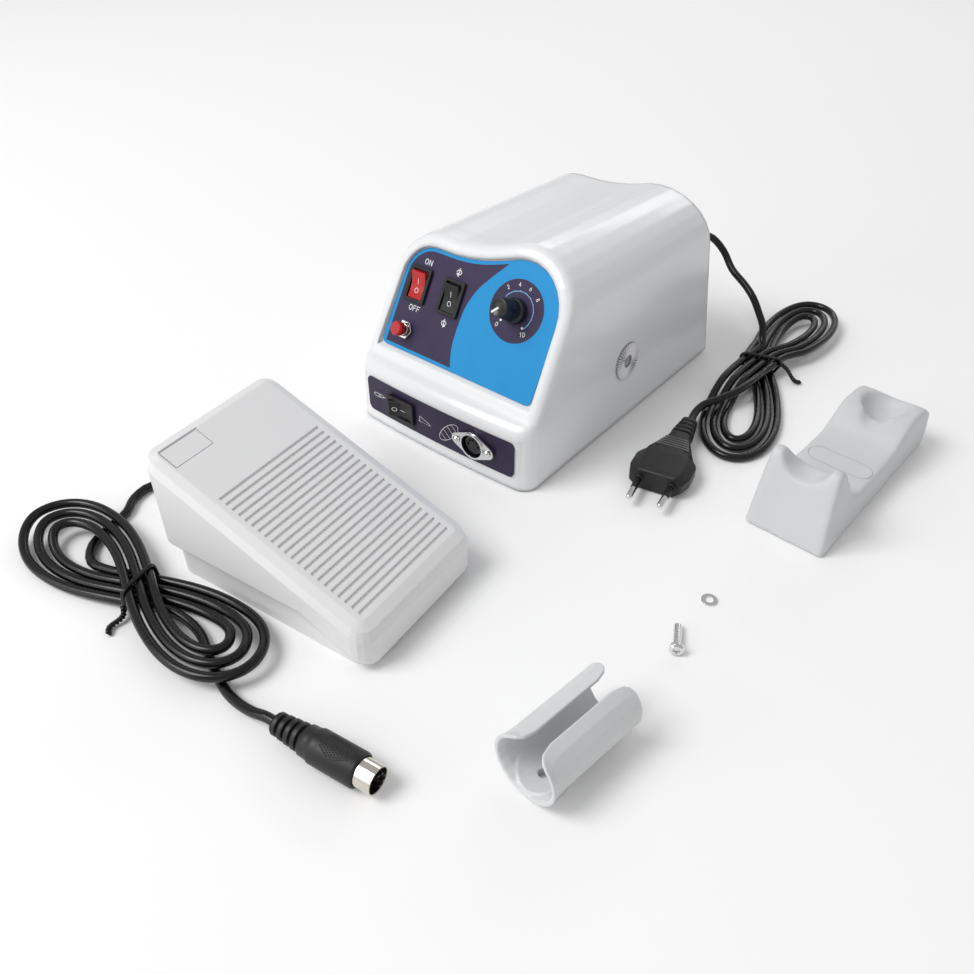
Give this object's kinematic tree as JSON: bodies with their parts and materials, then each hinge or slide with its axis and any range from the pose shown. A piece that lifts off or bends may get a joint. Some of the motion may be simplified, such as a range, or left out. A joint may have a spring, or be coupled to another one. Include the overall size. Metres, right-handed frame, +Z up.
{
  "type": "micromotor polisher",
  "caption": "Micromotor polisher set: control box with rockers, speed knob and round socket, foot pedal, handpiece stand, side clip, screw, washer and corded plugs.",
  "frame": {"origin": "centre of the set's footprint on the floor, without the cords and plugs", "axes": "+X to the box's right seen from its panel, +Y to the box's rear, +Z up"},
  "size_m": [0.3473, 0.5084, 0.1208],
  "materials": {
    "shell": "smooth light grey",
    "panel_blue": "printed film",
    "panel_dark": "printed film",
    "black": "fine grain",
    "red": "smooth",
    "rubber": "smooth",
    "steel": "plated",
    "chrome": "bright",
    "grey": "fine grain",
    "clip_grey": "satin",
    "plate": "zinc plated sheet",
    "iron": "laminated iron",
    "copper": "enamelled winding",
    "board": "circuit board",
    "aluminium": "extruded"
  },
  "bodies": {
    "set_base": {"base_plate": "plate", "base_screw_front_left": "steel", "base_screw_front_right": "steel", "base_screw_rear_left": "steel", "base_screw_rear_right": "steel", "chin_overlay": "panel_dark", "circuit_board": "board", "clip_screw": "steel", "clip_washer": "steel", "cord_gland": "black", "din_plug_body": "black", "din_plug_insert": "black", "din_plug_shell": "chrome", "din_screw_left": "steel", "din_screw_right": "steel", "din_socket": "steel", "direction_switch": "black", "euro_pin_left": "chrome", "euro_pin_right": "chrome", "euro_plug": "black", "filter_capacitor": "black", "foot_front_left": "rubber", "foot_front_right": "rubber", "foot_rear_left": "rubber", "foot_rear_right": "rubber", "fuse_holder": "black", "handpiece_stand": "grey", "heat_sink": "aluminium", "hinge_pin": "steel", "housing_shell": "shell", "mains_cord": "rubber", "mains_hank": "rubber", "mains_lead": "rubber", "mains_tie": "black", "panel_overlay": "panel_blue", "pedal_base": "shell", "pedal_cord": "rubber", "pedal_gland": "black", "pedal_hank": "rubber", "pedal_lead": "rubber", "pedal_potentiometer": "steel", "pedal_tie": "black", "potentiometer_nut": "steel", "power_switch": "black", "rear_panel": "shell", "reset_breaker": "black", "reset_nut": "steel", "return_spring": "steel", "side_clip": "clip_grey", "source_switch": "black", "speed_potentiometer": "steel", "transformer_coil": "copper", "transformer_core": "iron"},
    "power_rocker_body": {"power_rocker": "red"},
    "direction_rocker_body": {"direction_rocker": "black"},
    "source_rocker_body": {"source_rocker": "black"},
    "reset_button_body": {"reset_button": "red"},
    "speed_knob_body": {"speed_knob": "black"},
    "pedal_cover_body": {"pedal_cover": "shell"},
    "pedal_roller_body": {"pedal_roller": "rubber"}
  },
  "joints": [
    {"name": "power_rock", "type": "hinge", "parent": "set_base", "child": "power_rocker_body", "pos_m": [-0.11813, 0.00524, 0.0836], "axis": [1, 0, 0], "range_deg": [-22, 0]},
    {"name": "direction_rock", "type": "hinge", "parent": "set_base", "child": "direction_rocker_body", "pos_m": [-0.09303, 0.00514, 0.08343], "axis": [1, 0, 0], "range_deg": [-22, 0]},
    {"name": "source_rock", "type": "hinge", "parent": "set_base", "child": "source_rocker_body", "pos_m": [-0.10383, -0.03009, 0.021], "axis": [0, 0, 1], "range_deg": [-22, 0]},
    {"name": "reset_press", "type": "slide", "parent": "set_base", "child": "reset_button_body", "axis": [0, 0.8667, -0.4988], "range_m": [0, 0.0025], "stiffness_N_per_m": 150, "springref_m": -0.001},
    {"name": "speed_turn", "type": "hinge", "parent": "set_base", "child": "speed_knob_body", "pos_m": [-0.04903, 0.0073, 0.08957], "axis": [0, -0.8667, 0.4988], "range_deg": [-270, 0]},
    {"name": "pedal_press", "type": "hinge", "parent": "set_base", "child": "pedal_cover_body", "pos_m": [-0.00388, -0.13459, 0.015], "axis": [0.1027, -0.9947, 0], "range_deg": [0, 5], "stiffness_Nm_per_rad": 4, "springref_deg": -5.73, "deforming": ["return_spring"]},
    {"name": "roller_turn", "type": "hinge", "parent": "set_base", "child": "pedal_roller_body", "pos_m": [-0.08029, -0.14248, 0.02855], "axis": [0.1027, -0.9947, 0], "range_deg": [-61, 0]}
  ],
  "couplings": [
    {"joint": "roller_turn", "follows": "pedal_press", "ratio": -12}
  ]
}
